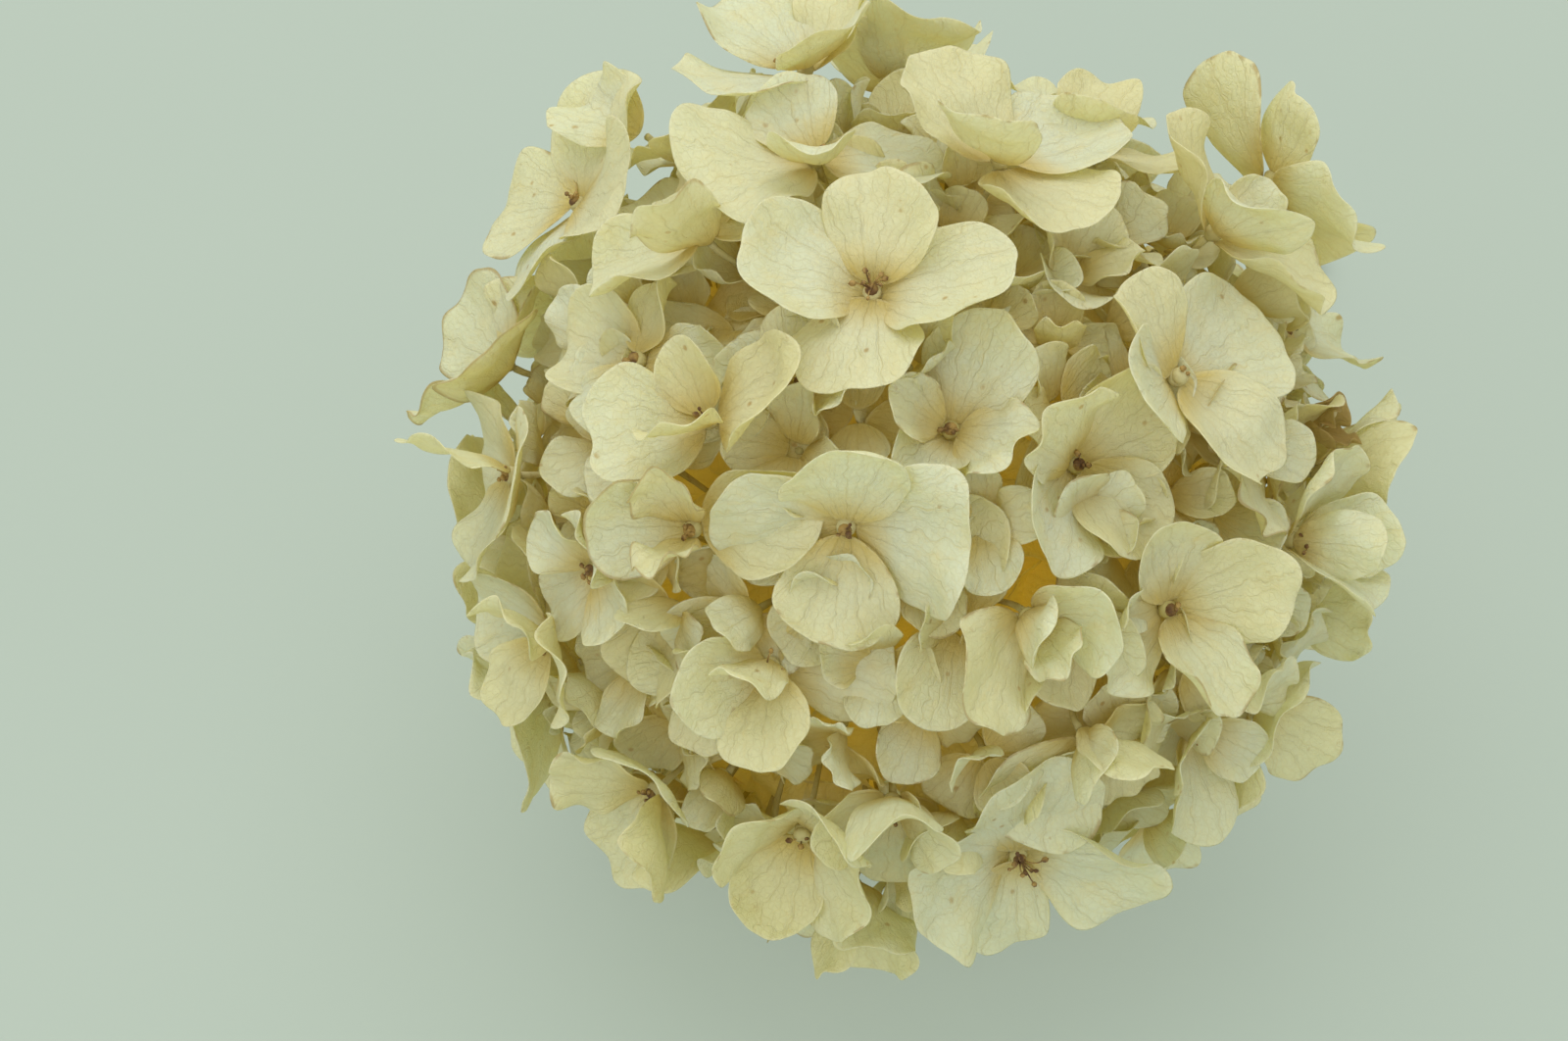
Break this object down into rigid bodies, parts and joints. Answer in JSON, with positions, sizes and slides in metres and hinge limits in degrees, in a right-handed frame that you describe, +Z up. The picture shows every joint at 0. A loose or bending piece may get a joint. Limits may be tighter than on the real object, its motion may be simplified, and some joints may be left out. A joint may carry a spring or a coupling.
{
  "type": "dried hydrangea head",
  "caption": "Dried mophead hydrangea, cream sepals on branching pedicels, cut with a short stem and laid down to rest on its florets and stem end.",
  "frame": {"origin": "on the surface it rests on, under the middle of the whole piece", "axes": "+Z up, +Y along the stem from the flower head to the cut end, +X to the right seen from the flower head's front looking along +Y"},
  "size_m": [0.171, 0.2522, 0.1538],
  "materials": {
    "sepal": "dry, thin and translucent, matte",
    "pedicel": "dry, matte ochre",
    "stem": "dry bark, matte brown"
  },
  "bodies": {
    "root": {"stem": "stem", "branch_1": "pedicel", "branch_2": "pedicel", "branch_3": "pedicel", "branch_4": "pedicel", "branch_5": "pedicel", "branch_6": "pedicel", "branch_7": "pedicel", "floret_01": "sepal", "floret_02": "sepal", "floret_03": "sepal", "floret_04": "sepal", "floret_05": "sepal", "floret_06": "sepal", "floret_07": "sepal", "floret_08": "sepal", "floret_09": "sepal", "floret_10": "sepal", "floret_11": "sepal", "floret_12": "sepal", "floret_13": "sepal", "floret_14": "sepal", "floret_15": "sepal", "floret_16": "sepal", "floret_17": "sepal", "floret_18": "sepal", "floret_19": "sepal", "floret_20": "sepal", "floret_21": "sepal", "floret_22": "sepal", "floret_23": "sepal", "floret_24": "sepal", "floret_25": "sepal", "floret_26": "sepal", "floret_27": "sepal", "floret_28": "sepal", "floret_29": "sepal", "floret_30": "sepal", "floret_31": "sepal", "floret_32": "sepal", "floret_33": "sepal", "floret_34": "sepal", "floret_35": "sepal", "floret_36": "sepal", "floret_37": "sepal", "floret_38": "sepal", "floret_39": "sepal", "floret_40": "sepal", "floret_41": "sepal", "floret_42": "sepal", "floret_43": "sepal", "floret_44": "sepal", "floret_45": "sepal", "floret_46": "sepal", "floret_47": "sepal", "floret_48": "sepal", "floret_49": "sepal", "floret_50": "sepal", "floret_51": "sepal", "floret_52": "sepal"}
  },
  "joints": []
}
